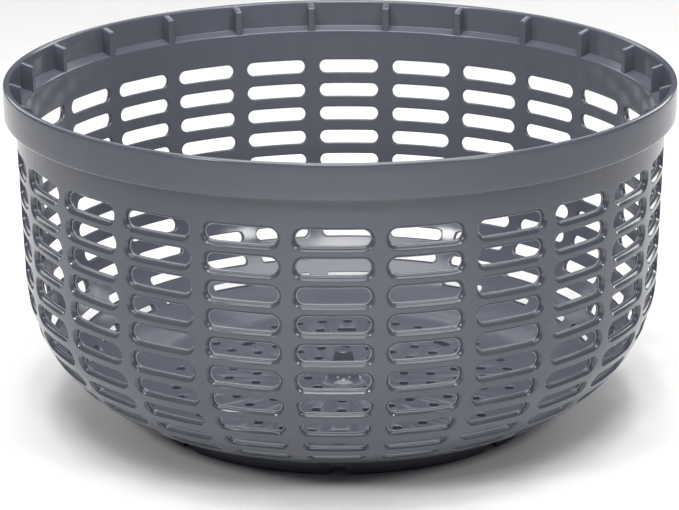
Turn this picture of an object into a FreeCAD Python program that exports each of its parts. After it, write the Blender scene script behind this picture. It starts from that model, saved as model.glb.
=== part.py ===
import FreeCAD, Part
import math
import os

# Basket of a salad spinner: a slotted bowl with a banded rim, drive ribs, a drained floor and a foot.
# Millimetres. +Z is up, the front column of slots faces -Y, and the origin is the centre of the foot.

# overall
HEIGHT = 126.8
RIM_R = 122.0
COLUMNS = 24
STEP_DEG = 360.0 / COLUMNS

# rim band
BAND_T = 2.4
BAND_H = 12.6
SHELF_DEPTH = 10.4
SHELF_FALL = 1.2
TOP_ROUND = 1.15
LOW_ROUND = 0.8
SHELF_ROUND = 0.8

# side wall, which leans in a little, and the quarter-round below it
WALL_T = 2.8
WALL_TOP_R = 118.2
WALL_LOW_R = 117.1
CURVE_R = 51.5
CURVE_TOP_Z = 55.6
SPLIT_Z = 45.0

# slots, one column every 15 degrees
ROWS = 10
SIDE_ROWS = 6
ROW_PITCH = 10.0
FIRST_ROW_DROP = 26.6
SLOT_H = 5.45
BAR_W = 5.5
BAR_GROWTH = 0.5
EDGE_W = 1.4
EDGE_DEPTH = 2.0

# drive ribs inside the band
RIB_T = 2.8
RIB_DEPTH = 4.1
RIB_FALL = 1.5
RIB_ROUND = 0.9

# floor
HOLE_R = 1.75
HOLE_RINGS = ((13.4, 8), (23.5, 14), (33.4, 22), (43.6, 28), (53.6, 32), (63.4, 40))
LONG_RING = 4
LONG_EVERY = 4
LONG_HALF = 2.0
FLOOR_R = 65.6

# pivot boss
BOSS_BASE_R = 10.0
BOSS_MID_R = 4.3
BOSS_TOP_R = 2.8
BOSS_MID_H = 6.6
BOSS_H = 11.5
SOCKET_R = 2.0
SOCKET_DEPTH = 9.5

# foot
FOOT_R = 76.5
FOOT_T = 3.0
NOTCHES = 8
NOTCH_R = 3.7

os.makedirs("parts", exist_ok=True)

V = FreeCAD.Vector
AXIS = V(0, 0, 1)
ORIGIN = V(0, 0, 0)

SHELF_Z = HEIGHT - SHELF_DEPTH
BAND_LOW_Z = HEIGHT - BAND_H
CURVE_X = WALL_LOW_R - CURVE_R
FLOOR_LOW_Z = CURVE_TOP_Z - CURVE_R
FLOOR_TOP_Z = FLOOR_LOW_Z + WALL_T
BAND_IN_R = RIM_R - BAND_T
WALL_IN_R = WALL_TOP_R - WALL_T


def point(radius, height):
    return V(radius, 0, height)


def revolve(edges):
    face = Part.Face(Part.Wire(edges))
    return face.revolve(ORIGIN, AXIS, 360)


def lines(points):
    closed = list(points) + [points[0]]
    return [Part.makeLine(a, b) for a, b in zip(closed, closed[1:])]


def turned(shape, degrees):
    copy = shape.copy()
    copy.rotate(ORIGIN, AXIS, degrees)
    return copy


def curve_point(radius, degrees):
    """Point on the quarter-round, from level (0 degrees) to its lowest point (90 degrees)."""
    angle = math.radians(degrees)
    return point(CURVE_X + radius * math.cos(angle), CURVE_TOP_Z - radius * math.sin(angle))


def curve_arc(radius, start, end):
    middle = (start + end) / 2.0
    return Part.Arc(curve_point(radius, start), curve_point(radius, middle), curve_point(radius, end)).toShape()


def row_place(row):
    """Radius of the wall's outer face, height and lean of the wall at the middle of one row of slots."""
    height = HEIGHT - FIRST_ROW_DROP - ROW_PITCH * row
    if height >= CURVE_TOP_Z:
        return WALL_LOW_R, height, 0.0
    lean = (CURVE_TOP_Z - height) / CURVE_R
    return CURVE_X + CURVE_R * math.cos(lean), CURVE_TOP_Z - CURVE_R * math.sin(lean), lean


def stadium(length, height, y, z):
    """Slot outline standing across the Y axis: two straight sides and two round ends."""
    half = (length - height) / 2.0
    r = height / 2.0
    top = Part.makeLine(V(-half, y, z + r), V(half, y, z + r))
    right = Part.Arc(V(half, y, z + r), V(half + r, y, z), V(half, y, z - r)).toShape()
    low = Part.makeLine(V(half, y, z - r), V(-half, y, z - r))
    left = Part.Arc(V(-half, y, z - r), V(-half - r, y, z), V(-half, y, z + r)).toShape()
    return Part.Wire([top, right, low, left])


def slot_cutter(row):
    radius, z, lean = row_place(row)
    inner = radius - WALL_T
    bar = BAR_W + BAR_GROWTH * max(0, row - SIDE_ROWS)
    length = 2.0 * inner * math.sin(math.radians(STEP_DEG / 2.0)) - bar
    height = SLOT_H * math.cos(lean) ** 2
    reach = WALL_T * (1.0 + 2.0 * math.sin(lean)) + 3.0
    hole = Part.Face(stadium(length, height, -radius - 3.0, z)).extrude(V(0, reach + 3.0, 0))
    if row >= SIDE_ROWS:
        return [hole]
    small = stadium(length, height, -radius + EDGE_DEPTH, z)
    grow = 2.0 * EDGE_W
    large = stadium(length + 2.0 * grow, height + 2.0 * grow, -radius - EDGE_DEPTH, z)
    return [hole, Part.makeLoft([small, large], True)]


def cut_slots(shape, rows):
    cutters = []
    for row in rows:
        for piece in slot_cutter(row):
            cutters += [turned(piece, STEP_DEG * column) for column in range(COLUMNS)]
    return shape.cut(Part.makeCompound(cutters))


def shelf_z(radius):
    """Height of the sloping shelf that joins the band to the wall."""
    return SHELF_Z - SHELF_FALL * (BAND_IN_R - radius) / (BAND_IN_R - WALL_IN_R)


def level_edges(shape, height):
    return [e for e in shape.Edges if e.BoundBox.ZLength < 0.01 and abs(e.BoundBox.ZMin - height) < 0.01]


# rim band: the wide hoop round the top, full-round on its upper edge
band = revolve(lines([
    point(BAND_IN_R, SHELF_Z),
    point(BAND_IN_R, HEIGHT),
    point(RIM_R, HEIGHT),
    point(RIM_R, BAND_LOW_Z),
    point(WALL_TOP_R, BAND_LOW_Z),
    point(WALL_TOP_R, shelf_z(WALL_TOP_R)),
]))
band = band.makeFillet(TOP_ROUND, level_edges(band, HEIGHT))
band = band.makeFillet(LOW_ROUND, [e for e in level_edges(band, BAND_LOW_Z) if e.BoundBox.XMax > RIM_R - 0.01])

# side wall: carries rows 1 to 6, and its top is the shelf's rounded inner edge
wall = revolve(lines([
    point(WALL_IN_R, shelf_z(WALL_IN_R)),
    point(WALL_TOP_R, shelf_z(WALL_TOP_R)),
    point(WALL_TOP_R, BAND_LOW_Z),
    point(WALL_LOW_R, CURVE_TOP_Z),
    point(WALL_LOW_R - WALL_T, CURVE_TOP_Z),
]))
wall = wall.makeFillet(SHELF_ROUND, level_edges(wall, shelf_z(WALL_IN_R)))
split_out = math.degrees(math.asin((CURVE_TOP_Z - SPLIT_Z) / CURVE_R))
split_in = math.degrees(math.asin((CURVE_TOP_Z - SPLIT_Z) / (CURVE_R - WALL_T)))
wall_foot = revolve([
    curve_arc(CURVE_R, 0, split_out),
    Part.makeLine(curve_point(CURVE_R, split_out), curve_point(CURVE_R - WALL_T, split_in)),
    curve_arc(CURVE_R - WALL_T, 0, split_in),
    Part.makeLine(curve_point(CURVE_R - WALL_T, 0), curve_point(CURVE_R, 0)),
])
side_wall = cut_slots(wall.fuse(wall_foot), range(SIDE_ROWS))

# lower shell: the quarter-round with rows 7 to 10
lower_shell = revolve([
    curve_arc(CURVE_R, split_out, 90),
    Part.makeLine(curve_point(CURVE_R, 90), curve_point(CURVE_R - WALL_T, 90)),
    curve_arc(CURVE_R - WALL_T, split_in, 90),
    Part.makeLine(curve_point(CURVE_R - WALL_T, split_in), curve_point(CURVE_R, split_out)),
])
lower_shell = cut_slots(lower_shell, range(SIDE_ROWS, ROWS))

# drive ribs: one standing between each two columns of slots, their tops falling away from the band
half = RIB_T / 2.0
back_y = -BAND_IN_R - 1.0
tip_y = -BAND_IN_R + RIB_DEPTH
back_z = HEIGHT - 0.9
side = Part.Face(Part.Wire(lines([
    V(-half, back_y, SHELF_Z - 3.0),
    V(-half, back_y, back_z + RIB_FALL / RIB_DEPTH),
    V(-half, tip_y, back_z - RIB_FALL),
    V(-half, tip_y, SHELF_Z - 3.0),
])))
block = side.extrude(V(RIB_T, 0, 0))
corner = [e for e in level_edges(block, back_z - RIB_FALL) if e.BoundBox.XLength > RIB_T - 0.01]
block = block.makeFillet(RIB_ROUND, corner)
inside = Part.makeCylinder(BAND_IN_R, HEIGHT, ORIGIN, AXIS)
shelf_side = revolve(lines([
    point(0, SHELF_Z - 8.0),
    point(0, shelf_z(WALL_IN_R - 5.0)),
    point(WALL_IN_R - 5.0, shelf_z(WALL_IN_R - 5.0)),
    point(BAND_IN_R + 3.0, shelf_z(BAND_IN_R + 3.0)),
    point(BAND_IN_R + 3.0, SHELF_Z - 8.0),
]))
rib = block.common(inside).cut(shelf_side)
ribs = Part.makeCompound([turned(rib, STEP_DEG * (i + 0.5)) for i in range(COLUMNS)])

# floor plate with its drain holes
floor = Part.makeCylinder(FLOOR_R, WALL_T, V(0, 0, FLOOR_LOW_Z), AXIS)
drains = [Part.makeCylinder(BOSS_BASE_R, 20, ORIGIN, AXIS)]
for ring, (ring_r, count) in enumerate(HOLE_RINGS):
    for i in range(count):
        hole = Part.makeCylinder(HOLE_R, 20, V(0, -ring_r, 0), AXIS)
        if ring == LONG_RING and i % LONG_EVERY == 0:
            slot = Part.makeBox(2.0 * LONG_HALF, 2.0 * HOLE_R, 20, V(-LONG_HALF, -ring_r - HOLE_R, 0))
            hole.translate(V(-LONG_HALF, 0, 0))
            other = Part.makeCylinder(HOLE_R, 20, V(LONG_HALF, -ring_r, 0), AXIS)
            hole = hole.fuse([slot, other]).removeSplitter()
        drains.append(turned(hole, 360.0 * i / count))
floor = floor.cut(Part.makeCompound(drains))

# pivot boss: a flared cone rising from the floor, hollow below for the spindle it turns on
flare_mid = point((BOSS_BASE_R + 2.0 * BOSS_MID_R) / 3.0 - 0.2, FLOOR_TOP_Z + BOSS_MID_H / 3.0)
flare = Part.Arc(point(BOSS_BASE_R, FLOOR_TOP_Z), flare_mid, point(BOSS_MID_R, FLOOR_TOP_Z + BOSS_MID_H)).toShape()
boss_points = [
    point(BOSS_MID_R, FLOOR_TOP_Z + BOSS_MID_H),
    point(BOSS_TOP_R, FLOOR_TOP_Z + BOSS_H),
    point(0, FLOOR_TOP_Z + BOSS_H),
    point(0, FLOOR_LOW_Z + SOCKET_DEPTH),
    point(SOCKET_R, FLOOR_LOW_Z + SOCKET_DEPTH),
    point(SOCKET_R, FLOOR_LOW_Z),
    point(BOSS_BASE_R, FLOOR_LOW_Z),
    point(BOSS_BASE_R, FLOOR_TOP_Z),
]
boss = revolve([flare] + [Part.makeLine(a, b) for a, b in zip(boss_points, boss_points[1:])])

# foot ring, cut to the underside of the shell, with arched drain notches
ring = Part.makeCylinder(FOOT_R, 12, ORIGIN, AXIS).cut(Part.makeCylinder(FOOT_R - FOOT_T, 12, ORIGIN, AXIS))
under = revolve([
    curve_arc(CURVE_R, 60, 90),
    Part.makeLine(curve_point(CURVE_R, 90), point(CURVE_X, 20)),
    Part.makeLine(point(CURVE_X, 20), point(curve_point(CURVE_R, 60).x, 20)),
    Part.makeLine(point(curve_point(CURVE_R, 60).x, 20), curve_point(CURVE_R, 60)),
])
arch = Part.makeCylinder(NOTCH_R, 10, V(0, -FOOT_R - 3.0, 0), V(0, 1, 0))
arches = [turned(arch, 360.0 * i / NOTCHES) for i in range(NOTCHES)]
foot = ring.cut(Part.makeCompound([under] + arches))

nodes = {
    "rim_band": band,
    "drive_ribs": ribs,
    "side_wall": side_wall,
    "lower_shell": lower_shell,
    "floor_plate": floor,
    "pivot_boss": boss,
    "foot_ring": foot,
}
for name, shape in nodes.items():
    shape.exportStep("parts/" + name + ".step")
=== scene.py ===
import bpy
import bmesh
import math
import numpy as np
from mathutils import Matrix, Vector


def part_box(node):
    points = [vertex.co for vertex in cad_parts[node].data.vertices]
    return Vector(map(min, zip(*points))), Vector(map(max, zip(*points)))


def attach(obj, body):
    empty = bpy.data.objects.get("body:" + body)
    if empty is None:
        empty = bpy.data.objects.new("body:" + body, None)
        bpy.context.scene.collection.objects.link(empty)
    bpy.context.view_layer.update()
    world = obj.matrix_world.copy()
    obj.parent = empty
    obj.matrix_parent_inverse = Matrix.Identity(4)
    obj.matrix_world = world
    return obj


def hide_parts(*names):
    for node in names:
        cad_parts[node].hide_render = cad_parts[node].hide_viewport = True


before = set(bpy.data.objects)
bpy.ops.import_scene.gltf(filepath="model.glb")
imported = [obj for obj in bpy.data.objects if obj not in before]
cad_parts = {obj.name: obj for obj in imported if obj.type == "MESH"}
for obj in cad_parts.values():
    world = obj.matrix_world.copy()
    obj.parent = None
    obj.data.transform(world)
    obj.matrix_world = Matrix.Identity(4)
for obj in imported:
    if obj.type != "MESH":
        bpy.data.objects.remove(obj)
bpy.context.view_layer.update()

# ---------------------------------------------------------------- sizes, in millimetres
MM = 0.001


def heights(node):
    """Bottom and top of a node, in millimetres."""
    low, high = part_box(node)
    return low[2] / MM, high[2] / MM


# heights that come from the frame
BAND_BASE, TOP = heights("rim_band")
SPLIT = heights("lower_shell")[1]
FLOOR_BASE, FLOOR_TOP = heights("floor_plate")
BOSS_TOP = heights("pivot_boss")[1]
FOOT_TOP = heights("foot_ring")[1]

# rim band, and the shelf that falls inwards from it
RIM_R = 122.0
BAND_IN = 119.6
SHELF = TOP - 10.4
SHELF_FALL = 1.2
TOP_ROUND = 1.17
LOW_ROUND = 0.8
UNDER_ROUND = 0.5
SHELF_ROUND = 0.35
NECK_ROUND = 0.7

# wall, and the quarter-round below it
WALL_T = 2.8
WALL_TOP_R = 118.2
WALL_LOW_R = 117.1
CURVE_R = 51.5
CURVE_TOP = SPLIT + 10.6
CURVE_X = WALL_LOW_R - CURVE_R
FLOOR_R = CURVE_X

# slots
COLUMNS = 24
STEP = 2 * math.pi / COLUMNS
HALF_STEP = 0.5 * STEP
ROWS = 10
SIDE_ROWS = 6
PITCH = 10.0
FIRST_ROW = TOP - 26.6
SLOT_H = 5.45
BAR_W = 5.5
BAR_GROWTH = 0.5
LIP = 1.6
INNER_LIP = 0.4
# Outer lip of a slot, from the wall's face into the slot: distance out from the opening, and depth.
# A rounded shoulder, then a small ledge at the parting line, coloured paler as a painted highlight.
LIP_PROFILE = (
    (1.6, 0.0), (1.5, 0.02), (1.4, 0.08), (1.31, 0.17), (1.1, 0.38), (0.85, 0.64), (0.65, 0.9),
    (0.5, 1.15), (0.4, 1.42), (0.33, 1.72), (0.3, 1.86), (0.24, 1.93), (0.06, 1.95), (0.0, 2.02),
)
FACE_BLENDS = (1.0, 0.5, 0.16)
# Rows of the lip profile whose quads get the paler colour, a painted highlight line round each opening.
LEDGE = (10, 13)


def outer_r(z):
    """Radius of the wall's outer face at a height."""
    if z >= CURVE_TOP:
        return WALL_LOW_R + (WALL_TOP_R - WALL_LOW_R) * (z - CURVE_TOP) / (BAND_BASE - CURVE_TOP)
    return CURVE_X + math.sqrt(max(0.0, CURVE_R ** 2 - (CURVE_TOP - z) ** 2))


def inner_r(z):
    """Radius of the wall's inner face at a height."""
    if z >= CURVE_TOP:
        return outer_r(z) - WALL_T
    return CURVE_X + math.sqrt(max(0.0, (CURVE_R - WALL_T) ** 2 - (CURVE_TOP - z) ** 2))


def row_middle(row):
    """Height of a row of slots, and the wall's lean there."""
    z = FIRST_ROW - PITCH * row
    if z >= CURVE_TOP:
        return z, 0.0
    lean = (CURVE_TOP - z) / CURVE_R
    return CURVE_TOP - CURVE_R * math.sin(lean), lean


# ---------------------------------------------------------------- mesh kit
class Skin:
    """Faces gathered under a part's name, joined where corners meet, with normals smooth across parts."""

    def __init__(self):
        self.points = []
        self.faces = []
        self.names = []
        self.pale = []

    def add(self, grid, name, wrap=False, pale=()):
        """A grid of points, rows by columns, as quads. The rows of quads in pale take the second material, a
        paler painted highlight.
        """
        start = len(self.points)
        rows, cols = len(grid), len(grid[0])
        for line in grid:
            self.points.extend(line)
        for i in range(rows - 1):
            for j in range(cols if wrap else cols - 1):
                k = (j + 1) % cols
                a, b = start + i * cols + j, start + i * cols + k
                c, d = start + (i + 1) * cols + k, start + (i + 1) * cols + j
                self.faces.append((a, b, c, d))
                self.names.append(name)
                self.pale.append(i in pale)

    def build(self):
        """One mesh for each name. Shared corners get one normal, so the parts shade as one moulding."""
        co = np.array(self.points)
        keys = np.round(co * 1e5).astype(np.int64)
        _, first, back = np.unique(keys, axis=0, return_index=True, return_inverse=True)
        co = co[first]
        back = back.reshape(-1)
        faces = [tuple(int(back[i]) for i in f) for f in self.faces]
        quads = np.array(faces)
        diag_a = co[quads[:, 2]] - co[quads[:, 0]]
        diag_b = co[quads[:, 3]] - co[quads[:, 1]]
        cross = np.cross(diag_a, diag_b)
        cross /= np.linalg.norm(cross, axis=1)[:, None] + 1e-12
        normals = np.zeros_like(co)
        for corner in range(4):
            here, before, after = quads[:, corner], quads[:, corner - 1], quads[:, (corner + 1) % 4]
            u, v = co[before] - co[here], co[after] - co[here]
            cosine = (u * v).sum(1) / (np.linalg.norm(u, axis=1) * np.linalg.norm(v, axis=1) + 1e-12)
            np.add.at(normals, here, cross * np.arccos(np.clip(cosine, -1, 1))[:, None])
        normals /= np.linalg.norm(normals, axis=1)[:, None] + 1e-12
        made = {}
        for name in sorted(set(self.names)):
            mine = [f for f, n in zip(faces, self.names) if n == name]
            # Material index 1 on these faces is the paler painted highlight.
            shade = [int(p) for p, n in zip(self.pale, self.names) if n == name]
            used = sorted({i for f in mine for i in f})
            place = {old: new for new, old in enumerate(used)}
            mesh = bpy.data.meshes.new(name)
            corners = [tuple(co[i] * MM) for i in used]
            mesh.from_pydata(corners, [], [tuple(place[i] for i in f) for f in mine])
            mesh.polygons.foreach_set("use_smooth", [True] * len(mesh.polygons))
            mesh.polygons.foreach_set("material_index", shade)
            mesh.normals_split_custom_set_from_vertices([tuple(normals[i]) for i in used])
            mesh.update()
            made[name] = mesh
        return made


def polar(r, angle, z):
    """Angle 0 is the front, -Y, and grows towards +X."""
    return (r * math.sin(angle), -r * math.cos(angle), z)


STRAIGHT = 8
ARC = 3
EDGE_STEPS = 2 * ARC + STRAIGHT
EDGE_ANGLES = [-HALF_STEP + STEP * i / EDGE_STEPS for i in range(EDGE_STEPS)]
ANGLES = [STEP * c + a for c in range(COLUMNS) for a in EDGE_ANGLES]


def lathe(skin, profile, name):
    """A profile of (r, z) turned about the axis, with corners at the angles that the slot cells use."""
    skin.add([[polar(r, a, z) for a in ANGLES] for r, z in profile], name, wrap=True)


def rounded(corners, steps=5):
    """Open path of (r, z, round) corners with each corner rounded off."""
    path = []
    last = len(corners) - 1
    for i, (r, z, size) in enumerate(corners):
        if i in (0, last) or size == 0:
            path.append((r, z))
            continue
        here = Vector((r, z))
        a = (Vector(corners[i - 1][:2]) - here).normalized()
        b = (Vector(corners[i + 1][:2]) - here).normalized()
        half = a.angle(b) / 2
        back = size / math.tan(half)
        middle = here + (a + b).normalized() * (size / math.sin(half))
        start, end = here + a * back - middle, here + b * back - middle
        begin = math.atan2(start.y, start.x)
        sweep = math.remainder(math.atan2(end.y, end.x) - begin, 2 * math.pi)
        for k in range(steps + 1):
            t = begin + sweep * k / steps
            path.append((middle.x + size * math.cos(t), middle.y + size * math.sin(t)))
    return path


def densify(path, longest):
    """Path with long runs divided."""
    out = [path[0]]
    for (r0, z0), (r1, z1) in zip(path, path[1:]):
        n = max(1, math.ceil(math.hypot(r1 - r0, z1 - z0) / longest))
        out += [(r0 + (r1 - r0) * k / n, z0 + (z1 - z0) * k / n) for k in range(1, n + 1)]
    return out


def slot_loop(row):
    """One slot's outline and the edge of the cell round it.

    Each item is slot x, slot z, outward x, outward z, cell angle and cell z.
    """
    z, lean = row_middle(row)
    above = 0.5 * (z + row_middle(row - 1)[0]) if row else z + 0.5 * PITCH
    below = 0.5 * (z + row_middle(row + 1)[0])
    if row == SIDE_ROWS - 1:
        below = SPLIT
    if row == SIDE_ROWS:
        above = SPLIT
    bar = BAR_W + BAR_GROWTH * max(0, row - SIDE_ROWS)
    length = 2 * (outer_r(z) - WALL_T) * math.sin(HALF_STEP) - bar
    squash = math.cos(lean) ** 2
    radius = 0.5 * SLOT_H
    half = 0.5 * length - radius * squash
    top_flare = squash * max(0.25, 1.0 - 1.1 * lean)
    low_flare = math.cos(lean)
    items = []

    def push(x, up, nx, nz, angle, height):
        flare = top_flare if nz > 0 else low_flare
        items.append((x, z + up, nx, nz * flare, angle, height))

    def arc(sign_x, start, end):
        """Quarter of a slot's end. Half of it faces the cell's top or foot, and half faces its side."""
        for k in range(2 * ARC):
            t = start + (end - start) * k / (2 * ARC)
            nx, nz = sign_x * math.cos(t), math.sin(t)
            from_flat = abs(start) > abs(end)
            vertical = above if (start + end) > 0 else below
            if from_flat:
                angle = sign_x * (HALF_STEP - STEP * max(0, ARC - k) / EDGE_STEPS)
                height = vertical if k <= ARC else vertical + (z - vertical) * (k - ARC) / ARC
            else:
                angle = sign_x * (HALF_STEP - STEP * max(0, k - ARC) / EDGE_STEPS)
                height = vertical if k >= ARC else z + (vertical - z) * k / ARC
            push(sign_x * half + nx * radius * squash, nz * radius * squash, nx, nz, angle, height)

    for k in range(STRAIGHT):
        t = -1 + 2 * k / STRAIGHT
        push(half * t, radius * squash, 0, 1, STEP * (k - STRAIGHT / 2) / EDGE_STEPS, above)
    arc(1, 0.5 * math.pi, 0.0)
    arc(1, 0.0, -0.5 * math.pi)
    for k in range(STRAIGHT):
        t = 1 - 2 * k / STRAIGHT
        push(half * t, -radius * squash, 0, -1, STEP * (STRAIGHT / 2 - k) / EDGE_STEPS, below)
    arc(-1, -0.5 * math.pi, 0.0)
    arc(-1, 0.0, 0.5 * math.pi)
    return items


def slot_cell(skin, row, name):
    """One slot with its rounded lips, and the wall's two faces round it, repeated in every column."""
    loop = slot_loop(row)

    def on(face, x, z, depth=0.0, blend=0.0, angle=0.0, height=0.0):
        """Point on a face, sunk by depth and moved by blend towards the cell's edge."""
        zz = z + (height - z) * blend
        r = face(zz) - depth
        a = math.asin(max(-1, min(1, x / face(z))))
        return r, a + (angle - a) * blend, zz

    def ring(face, out, depth=0.0, blend=0.0):
        """Loop round the slot, out from its edge."""
        return [on(face, x + out * nx, z + out * nz, depth, blend, a, h) for x, z, nx, nz, a, h in loop]

    loops = [ring(outer_r, LIP, blend=blend) for blend in FACE_BLENDS]
    loops += [ring(outer_r, out, depth) for out, depth in LIP_PROFILE]
    for k in range(4):
        t = 0.5 * math.pi * (1 - k / 3)
        loops.append(ring(inner_r, INNER_LIP * (1 - math.sin(t)), -INNER_LIP * (1 - math.cos(t))))
    loops += [ring(inner_r, INNER_LIP, blend=blend) for blend in reversed(FACE_BLENDS)]
    # Quad rows of the lip's ledge that take the paler painted highlight.
    ledge = range(len(FACE_BLENDS) + LEDGE[0], len(FACE_BLENDS) + LEDGE[1])
    for column in range(COLUMNS):
        turn = STEP * column
        grid = [[polar(r, a + turn, z) for r, a, z in line] for line in loops]
        skin.add(grid, name, wrap=True, pale=ledge)


# ---------------------------------------------------------------- the moulding
skin = Skin()
first_edge = FIRST_ROW + 0.5 * PITCH
last_edge = 0.5 * (row_middle(ROWS - 1)[0] + row_middle(ROWS)[0])

def shelf_z(radius):
    """Height of the sloping shelf that joins the band to the wall."""
    return SHELF - SHELF_FALL * (BAND_IN - radius) / (BAND_IN - WALL_TOP_R + WALL_T)


band_foot = (outer_r(BAND_BASE - 2.0), BAND_BASE - 2.0)
band_path = rounded([
    (WALL_TOP_R, shelf_z(WALL_TOP_R), 0),
    (BAND_IN, SHELF, SHELF_ROUND),
    (BAND_IN, TOP, TOP_ROUND),
    (RIM_R, TOP, TOP_ROUND),
    (RIM_R, BAND_BASE, LOW_ROUND),
    (WALL_TOP_R + 0.02, BAND_BASE, UNDER_ROUND),
    (*band_foot, 0),
], 7)
lathe(skin, densify(band_path, 3.0), "band")
lathe(skin, densify([band_foot, (outer_r(first_edge), first_edge)], 1.5), "wall")
for row in range(ROWS):
    slot_cell(skin, row, "wall" if row < SIDE_ROWS else "shell")
neck = rounded([
    (inner_r(first_edge), first_edge, 0),
    (WALL_TOP_R - WALL_T, shelf_z(WALL_TOP_R - WALL_T), NECK_ROUND),
    (WALL_TOP_R, shelf_z(WALL_TOP_R), 0),
])
lathe(skin, densify(neck, 1.5), "wall")


def curve_path(radius, start_z, steps=16):
    """Quarter-round from a height down to level."""
    begin = math.asin((CURVE_TOP - start_z) / radius)
    turns = [begin + (0.5 * math.pi - begin) * k / steps for k in range(steps + 1)]
    return [(CURVE_X + radius * math.cos(t), CURVE_TOP - radius * math.sin(t)) for t in turns]


lathe(skin, curve_path(CURVE_R, last_edge), "shell")
lathe(skin, list(reversed(curve_path(CURVE_R - WALL_T, last_edge))), "shell")
# These two rings only level the shell's normals where it meets the floor plate. They aren't shown.
lathe(skin, [(FLOOR_R, FLOOR_BASE), (FLOOR_R - 3, FLOOR_BASE)], "normals_only")
lathe(skin, [(FLOOR_R - 3, FLOOR_TOP), (FLOOR_R, FLOOR_TOP)], "normals_only")
meshes = skin.build()


# ---------------------------------------------------------------- materials
def plastic(name, colour, rough, seed):
    """Smooth moulded plastic with faint flow shading and a slightly uneven gloss."""
    m = bpy.data.materials.new(name)
    m.use_nodes = True
    tree = m.node_tree
    nodes, links = tree.nodes, tree.links
    b = nodes["Principled BSDF"]
    b.inputs["IOR"].default_value = 1.49
    b.inputs["Specular IOR Level"].default_value = 0.5
    at = nodes.new("ShaderNodeTexCoord").outputs["Object"]

    def noise(scale, detail, stretch=(1, 1, 1)):
        """Noise in the object's own space."""
        place = nodes.new("ShaderNodeMapping")
        place.inputs["Location"].default_value = (seed, seed * 0.7, seed * 1.3)
        place.inputs["Scale"].default_value = stretch
        n = nodes.new("ShaderNodeTexNoise")
        n.inputs["Scale"].default_value = scale
        n.inputs["Detail"].default_value = detail
        links.new(at, place.inputs["Vector"])
        links.new(place.outputs["Vector"], n.inputs["Vector"])
        return n.outputs["Fac"]

    def spread(value, low, high, to_low, to_high):
        """A value mapped from one range to another."""
        r = nodes.new("ShaderNodeMapRange")
        r.inputs["From Min"].default_value = low
        r.inputs["From Max"].default_value = high
        r.inputs["To Min"].default_value = to_low
        r.inputs["To Max"].default_value = to_high
        links.new(value, r.inputs["Value"])
        return r.outputs["Result"]

    flow = nodes.new("ShaderNodeMix")
    flow.data_type = "RGBA"
    flow.inputs["A"].default_value = (*[c * 0.94 for c in colour], 1)
    flow.inputs["B"].default_value = (*[min(1, c * 1.06) for c in colour], 1)
    links.new(spread(noise(14, 3, (1, 1, 0.35)), 0.3, 0.7, 0, 1), flow.inputs["Factor"])
    links.new(flow.outputs["Result"], b.inputs["Base Color"])
    gloss = spread(noise(55, 4), 0.3, 0.7, rough - 0.02, rough + 0.03)
    links.new(gloss, b.inputs["Roughness"])
    return m


GREY = plastic("grey_plastic", (0.078, 0.084, 0.106), 0.15, 3.0)
# A paler grey that paints in the highlight line round each slot's lip.
PAINTED_HIGHLIGHT = plastic("painted_highlight_line", (0.30, 0.31, 0.34), 0.25, 5.0)


def piece(name, mesh, *nodes):
    """A visible object in place of the named CAD nodes."""
    o = bpy.data.objects.new(name, mesh)
    bpy.context.scene.collection.objects.link(o)
    mesh.materials.append(GREY)
    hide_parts(*nodes)
    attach(o, "root")
    return o


piece("rim_band_moulding", meshes["band"], "rim_band")
wall = piece("side_wall_moulding", meshes["wall"], "side_wall")
shell = piece("lower_shell_moulding", meshes["shell"], "lower_shell")
# The slotted parts carry the painted highlight as their second material.
for slotted in (wall, shell):
    slotted.data.materials.append(PAINTED_HIGHLIGHT)


# ---------------------------------------------------------------- drive ribs
RIB_DEPTH = 4.1
RIB_FALL = 1.4
RIB_ROUND = 0.9
RIB_EASE = 0.35


def rib_mesh():
    """Upright rib with draft, its free top corner rounded and its long edges eased."""
    bm = bmesh.new()
    back, tip = BAND_IN + 0.6, BAND_IN - RIB_DEPTH
    high, low = TOP - 0.9, shelf_z(tip) + 0.05
    outline = rounded([
        (back, SHELF - 0.4, 0),
        (tip, low, 0),
        (tip, high - RIB_FALL, RIB_ROUND),
        (back, high + 0.2, 0),
    ], 6)
    for x_sign in (-1, 1):
        for r, z in outline:
            half = 1.3 + 0.2 * (TOP - z) / (TOP - SHELF)
            bm.verts.new((x_sign * half, -r, z))
    n = len(outline)
    v = list(bm.verts)
    bm.verts.ensure_lookup_table()
    bm.faces.new(v[:n])
    bm.faces.new(list(reversed(v[n:])))
    for i in range(n):
        k = (i + 1) % n
        bm.faces.new((v[k], v[i], v[n + i], v[n + k]))
    bmesh.ops.recalc_face_normals(bm, faces=bm.faces)
    sides = [e for e in bm.edges if (e.verts[0].co.x > 0) == (e.verts[1].co.x > 0)]
    eased = [e for e in sides if max(e.verts[0].co.y, e.verts[1].co.y) > -tip - 1.8]
    bmesh.ops.bevel(bm, geom=eased, offset=RIB_EASE, segments=3, profile=0.5, affect="EDGES")
    mesh = bpy.data.meshes.new("rib")
    bm.to_mesh(mesh)
    bm.free()
    return mesh


def joined(name, source, turns):
    """One mesh in metres, of a millimetre mesh repeated at the angles in turns."""
    bm = bmesh.new()
    for angle in turns:
        part = source.copy()
        part.transform(Matrix.Rotation(angle, 4, "Z"))
        bm.from_mesh(part)
        bpy.data.meshes.remove(part)
    bmesh.ops.scale(bm, vec=(MM, MM, MM), verts=bm.verts)
    mesh = bpy.data.meshes.new(name)
    bm.to_mesh(mesh)
    bm.free()
    mesh.polygons.foreach_set("use_smooth", [True] * len(mesh.polygons))
    mesh.set_sharp_from_angle(angle=math.radians(40))
    return mesh


rib_turns = [STEP * (i + 0.5) for i in range(COLUMNS)]
piece("drive_ribs_moulding", joined("ribs", rib_mesh(), rib_turns), "drive_ribs")


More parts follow.
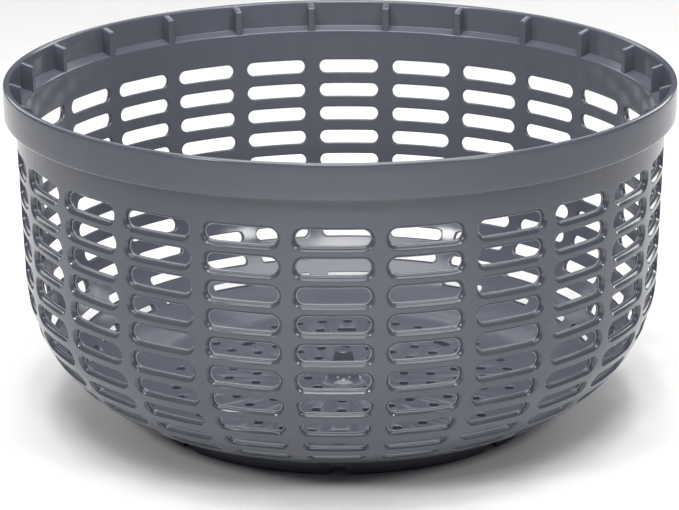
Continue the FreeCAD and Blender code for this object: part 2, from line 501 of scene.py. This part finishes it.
# ---------------------------------------------------------------- floor with drain holes
def solid_lathe(name, profile):
    """Closed ring or plug turned from a closed outline, in millimetres."""
    bm = bmesh.new()
    rings = []
    for r, z in profile:
        if r < 1e-6:
            rings.append([bm.verts.new((0, 0, z))])
        else:
            rings.append([bm.verts.new(polar(r, a, z)) for a in ANGLES])
    n = len(ANGLES)
    for i in range(len(rings)):
        a, b = rings[i], rings[(i + 1) % len(rings)]
        if len(a) == 1 and len(b) == 1:
            continue
        for j in range(n):
            k = (j + 1) % n
            corners = [a[j % len(a)], a[k % len(a)], b[k % len(b)], b[j % len(b)]]
            unique = []
            for c in corners:
                if c not in unique:
                    unique.append(c)
            bm.faces.new(unique)
    bmesh.ops.recalc_face_normals(bm, faces=bm.faces)
    mesh = bpy.data.meshes.new(name)
    bm.to_mesh(mesh)
    bm.free()
    return mesh


HOLE_R = 1.75
HOLE_RINGS = ((13.4, 8), (23.5, 14), (33.4, 22), (43.6, 28), (53.6, 32), (63.4, 40))
LONG_RING = 4
LONG_EVERY = 4
LONG_HALF = 2.0
HOLE_EASE = 0.35
HOLE_STEPS = 20
BOSS_R = 10.0


def drain_cutter(half):
    """Cutter for one drain hole, with an eased top edge; half is half the straight length of a long hole."""
    levels = [(HOLE_R, FLOOR_BASE - 2), (HOLE_R, FLOOR_TOP - HOLE_EASE)]
    for k in range(1, 4):
        t = 0.5 * math.pi * k / 3
        height = FLOOR_TOP - HOLE_EASE + HOLE_EASE * math.sin(t)
        levels.append((HOLE_R + HOLE_EASE * (1 - math.cos(t)), height))
    levels.append((HOLE_R + HOLE_EASE, FLOOR_TOP + 2))
    bm = bmesh.new()
    steps = HOLE_STEPS
    rings = []
    for r, z in levels:
        ring = []
        for k in range(steps):
            t = 2 * math.pi * (k + 0.5) / steps
            shift = half if math.cos(t) > 0 else -half
            ring.append(bm.verts.new((r * math.cos(t) + shift, r * math.sin(t), z)))
        rings.append(ring)
    for a, b in zip(rings, rings[1:]):
        for k in range(steps):
            bm.faces.new((a[k], a[(k + 1) % steps], b[(k + 1) % steps], b[k]))
    bm.faces.new(list(reversed(rings[0])))
    bm.faces.new(rings[-1])
    bmesh.ops.recalc_face_normals(bm, faces=bm.faces)
    mesh = bpy.data.meshes.new("drain")
    bm.to_mesh(mesh)
    bm.free()
    return mesh


def cut(target_mesh, cutter_mesh):
    """The first mesh with the second taken out of it."""
    target = bpy.data.objects.new("target", target_mesh)
    cutter = bpy.data.objects.new("cutter", cutter_mesh)
    for o in (target, cutter):
        bpy.context.scene.collection.objects.link(o)
    mod = target.modifiers.new("cut", "BOOLEAN")
    mod.operation = "DIFFERENCE"
    mod.solver = "EXACT"
    mod.object = cutter
    graph = bpy.context.evaluated_depsgraph_get()
    mesh = bpy.data.meshes.new_from_object(target.evaluated_get(graph))
    for o in (target, cutter):
        bpy.data.objects.remove(o)
    return mesh


plate = solid_lathe("plate", [
    (BOSS_R, FLOOR_BASE),
    (FLOOR_R, FLOOR_BASE),
    (FLOOR_R, FLOOR_TOP),
    (BOSS_R, FLOOR_TOP),
])
drains = bmesh.new()
for ring, (ring_r, count) in enumerate(HOLE_RINGS):
    for i in range(count):
        is_long = ring == LONG_RING and i % LONG_EVERY == 0
        hole = drain_cutter(LONG_HALF if is_long else 0.0)
        hole.transform(Matrix.Rotation(2 * math.pi * i / count, 4, "Z") @ Matrix.Translation((0, -ring_r, 0)))
        drains.from_mesh(hole)
        bpy.data.meshes.remove(hole)
drain_mesh = bpy.data.meshes.new("drains")
drains.to_mesh(drain_mesh)
drains.free()
floor_mesh = cut(plate, drain_mesh)
floor_mesh.transform(Matrix.Scale(MM, 4))
for p in floor_mesh.polygons:
    p.use_smooth = abs(p.normal.z) < 0.999
floor_mesh.set_sharp_from_angle(angle=math.radians(35))
piece("floor_plate_moulding", floor_mesh, "floor_plate")

# ---------------------------------------------------------------- pivot boss
NECK_R = 3.15
SOCKET_R = 2.0
SOCKET_TOP = FLOOR_BASE + 9.5
flare = [
    (BOSS_R, FLOOR_TOP), (8.6, FLOOR_TOP + 0.12), (7.2, FLOOR_TOP + 0.75), (6.1, FLOOR_TOP + 2.0),
    (5.2, FLOOR_TOP + 3.9), (4.3, FLOOR_TOP + 6.6), (3.6, BOSS_TOP - 2.2), (NECK_R, BOSS_TOP - 0.8),
]
crown = rounded([(NECK_R, BOSS_TOP - 0.8, 0), (2.8, BOSS_TOP, 0.7), (1.2, BOSS_TOP, 0)], 5)
socket = [
    (0.0, BOSS_TOP), (0.0, SOCKET_TOP), (SOCKET_R - 0.3, SOCKET_TOP), (SOCKET_R, SOCKET_TOP - 0.3),
    (SOCKET_R, FLOOR_BASE + 0.5), (SOCKET_R + 0.4, FLOOR_BASE), (BOSS_R, FLOOR_BASE),
]
boss_mesh = solid_lathe("boss", flare + crown[1:] + socket)
boss_mesh.transform(Matrix.Scale(MM, 4))
boss_mesh.polygons.foreach_set("use_smooth", [True] * len(boss_mesh.polygons))
boss_mesh.set_sharp_from_angle(angle=math.radians(40))
piece("pivot_boss_moulding", boss_mesh, "pivot_boss")

# ---------------------------------------------------------------- foot ring
FOOT_R = 76.5
FOOT_T = 3.0
FOOT_ROUND = 0.6
NOTCHES = 8
NOTCH_R = 3.7
foot_top = FOOT_TOP + 0.25
foot_path = rounded([
    (FOOT_R, foot_top, 0),
    (FOOT_R, 0.0, FOOT_ROUND),
    (FOOT_R - FOOT_T, 0.0, FOOT_ROUND),
    (FOOT_R - FOOT_T, foot_top - 0.6, 0),
], 4)
ring_mesh = solid_lathe("ring", foot_path)
arches = bmesh.new()
lying = Matrix.Translation((0, -FOOT_R, 0)) @ Matrix.Rotation(math.pi / 2, 4, "X")
for i in range(NOTCHES):
    around = Matrix.Rotation(2 * math.pi * i / NOTCHES, 4, "Z")
    bmesh.ops.create_cone(
        arches, cap_ends=True, segments=48, radius1=NOTCH_R, radius2=NOTCH_R, depth=12, matrix=around @ lying)
arch_mesh = bpy.data.meshes.new("arches")
arches.to_mesh(arch_mesh)
arches.free()
foot_mesh = cut(ring_mesh, arch_mesh)
foot_mesh.transform(Matrix.Scale(MM, 4))
foot_mesh.polygons.foreach_set("use_smooth", [True] * len(foot_mesh.polygons))
foot_mesh.set_sharp_from_angle(angle=math.radians(35))
piece("foot_ring_moulding", foot_mesh, "foot_ring")


# ---------------------------------------------------------------- floor and light
FLOOR_HALF = 6


def studio_floor():
    """Plain pale floor under the basket."""
    mesh = bpy.data.meshes.new("studio_floor")
    corners = [(x * FLOOR_HALF, y * FLOOR_HALF, 0) for x, y in ((-1, -1), (1, -1), (1, 1), (-1, 1))]
    mesh.from_pydata(corners, [], [(0, 1, 2, 3)])
    o = bpy.data.objects.new("studio_floor", mesh)
    bpy.context.scene.collection.objects.link(o)
    m = bpy.data.materials.new("pale_floor")
    m.use_nodes = True
    b = m.node_tree.nodes["Principled BSDF"]
    b.inputs["Base Color"].default_value = (0.95, 0.95, 0.95, 1)
    b.inputs["Roughness"].default_value = 0.6
    b.inputs["Specular IOR Level"].default_value = 0.2
    mesh.materials.append(m)


def area(name, place, aim, size, power, spread=180):
    """Rectangular light at a place in metres, aimed at a point. Power is in watts, spread in degrees."""
    light = bpy.data.lights.new(name, "AREA")
    light.shape = "RECTANGLE"
    light.size, light.size_y = size
    light.energy = power
    light.spread = math.radians(spread)
    o = bpy.data.objects.new(name, light)
    o.location = place
    o.rotation_euler = (Vector(aim) - Vector(place)).to_track_quat("-Z", "Y").to_euler()
    bpy.context.scene.collection.objects.link(o)


studio_floor()
area("high_front", (0.0, -0.9, 1.3), (0, 0, 0.08), (0.5, 0.5), 7.0)
area("left_key", (-1.2, -1.05, 1.25), (0, 0, 0.08), (0.35, 0.35), 10.5)
area("right_key", (1.2, -1.05, 1.25), (0, 0, 0.08), (0.35, 0.35), 8.0)
area("over_bowl", (0.0, -0.03, 0.5), (0, 0.05, 0.06), (0.45, 0.45), 3.4)
area("back_high", (0.0, 1.3, 1.1), (0, 0.5, 0), (1.6, 0.6), 7.0)
area("back_left", (-0.9, 1.0, 0.6), (0, 0, 0), (0.4, 0.6), 2.5)
area("back_right", (0.9, 1.0, 0.6), (0, 0, 0), (0.4, 0.6), 4.5)
area("front_floor", (0.0, -0.40, 0.62), (0, -0.40, 0), (0.5, 0.1), 0.3, spread=50)
world = bpy.data.worlds.new("studio")
bpy.context.scene.world = world
world.use_nodes = True
world.node_tree.nodes["Background"].inputs["Color"].default_value = (1, 1, 1, 1)
world.node_tree.nodes["Background"].inputs["Strength"].default_value = 0.03

# ---------------------------------------------------------------- camera
# It stands off the middle of the rim, in front and above, then turns and tilts away from it.
AROUND = math.radians(1.493)
RIM = Vector((0, 0, TOP * MM))
DISTANCE = 0.8808
RISE = math.radians(13.968)
place = RIM + DISTANCE * Vector((
    math.sin(AROUND) * math.cos(RISE), -math.cos(AROUND) * math.cos(RISE), math.sin(RISE)))
ahead = (RIM - place).normalized()
right = Vector((math.cos(AROUND), math.sin(AROUND), 0))
up = right.cross(ahead)


def turned(first, second, angle):
    """Two square axes turned by an angle, the first towards the second."""
    cosine, sine = math.cos(angle), math.sin(angle)
    return first * cosine + second * sine, second * cosine - first * sine


PAN = math.radians(1.844)
ahead, right = turned(ahead, right, PAN)
DIP = math.radians(-4.383)
ahead, up = turned(ahead, up, DIP)
ROLL = math.radians(-0.247)
right, up = turned(right, up, ROLL)
camera = bpy.data.cameras.new("camera")
camera.lens = 127.6
camera.sensor_width = 36.0
camera.shift_x = -0.1186
camera.clip_start = 0.05
eye = bpy.data.objects.new("camera", camera)
turn = Matrix((right, up, -ahead)).transposed().to_4x4()
eye.matrix_world = Matrix.Translation(place) @ turn
bpy.context.scene.collection.objects.link(eye)
bpy.context.scene.camera = eye
bpy.context.scene.view_settings.view_transform = "Standard"
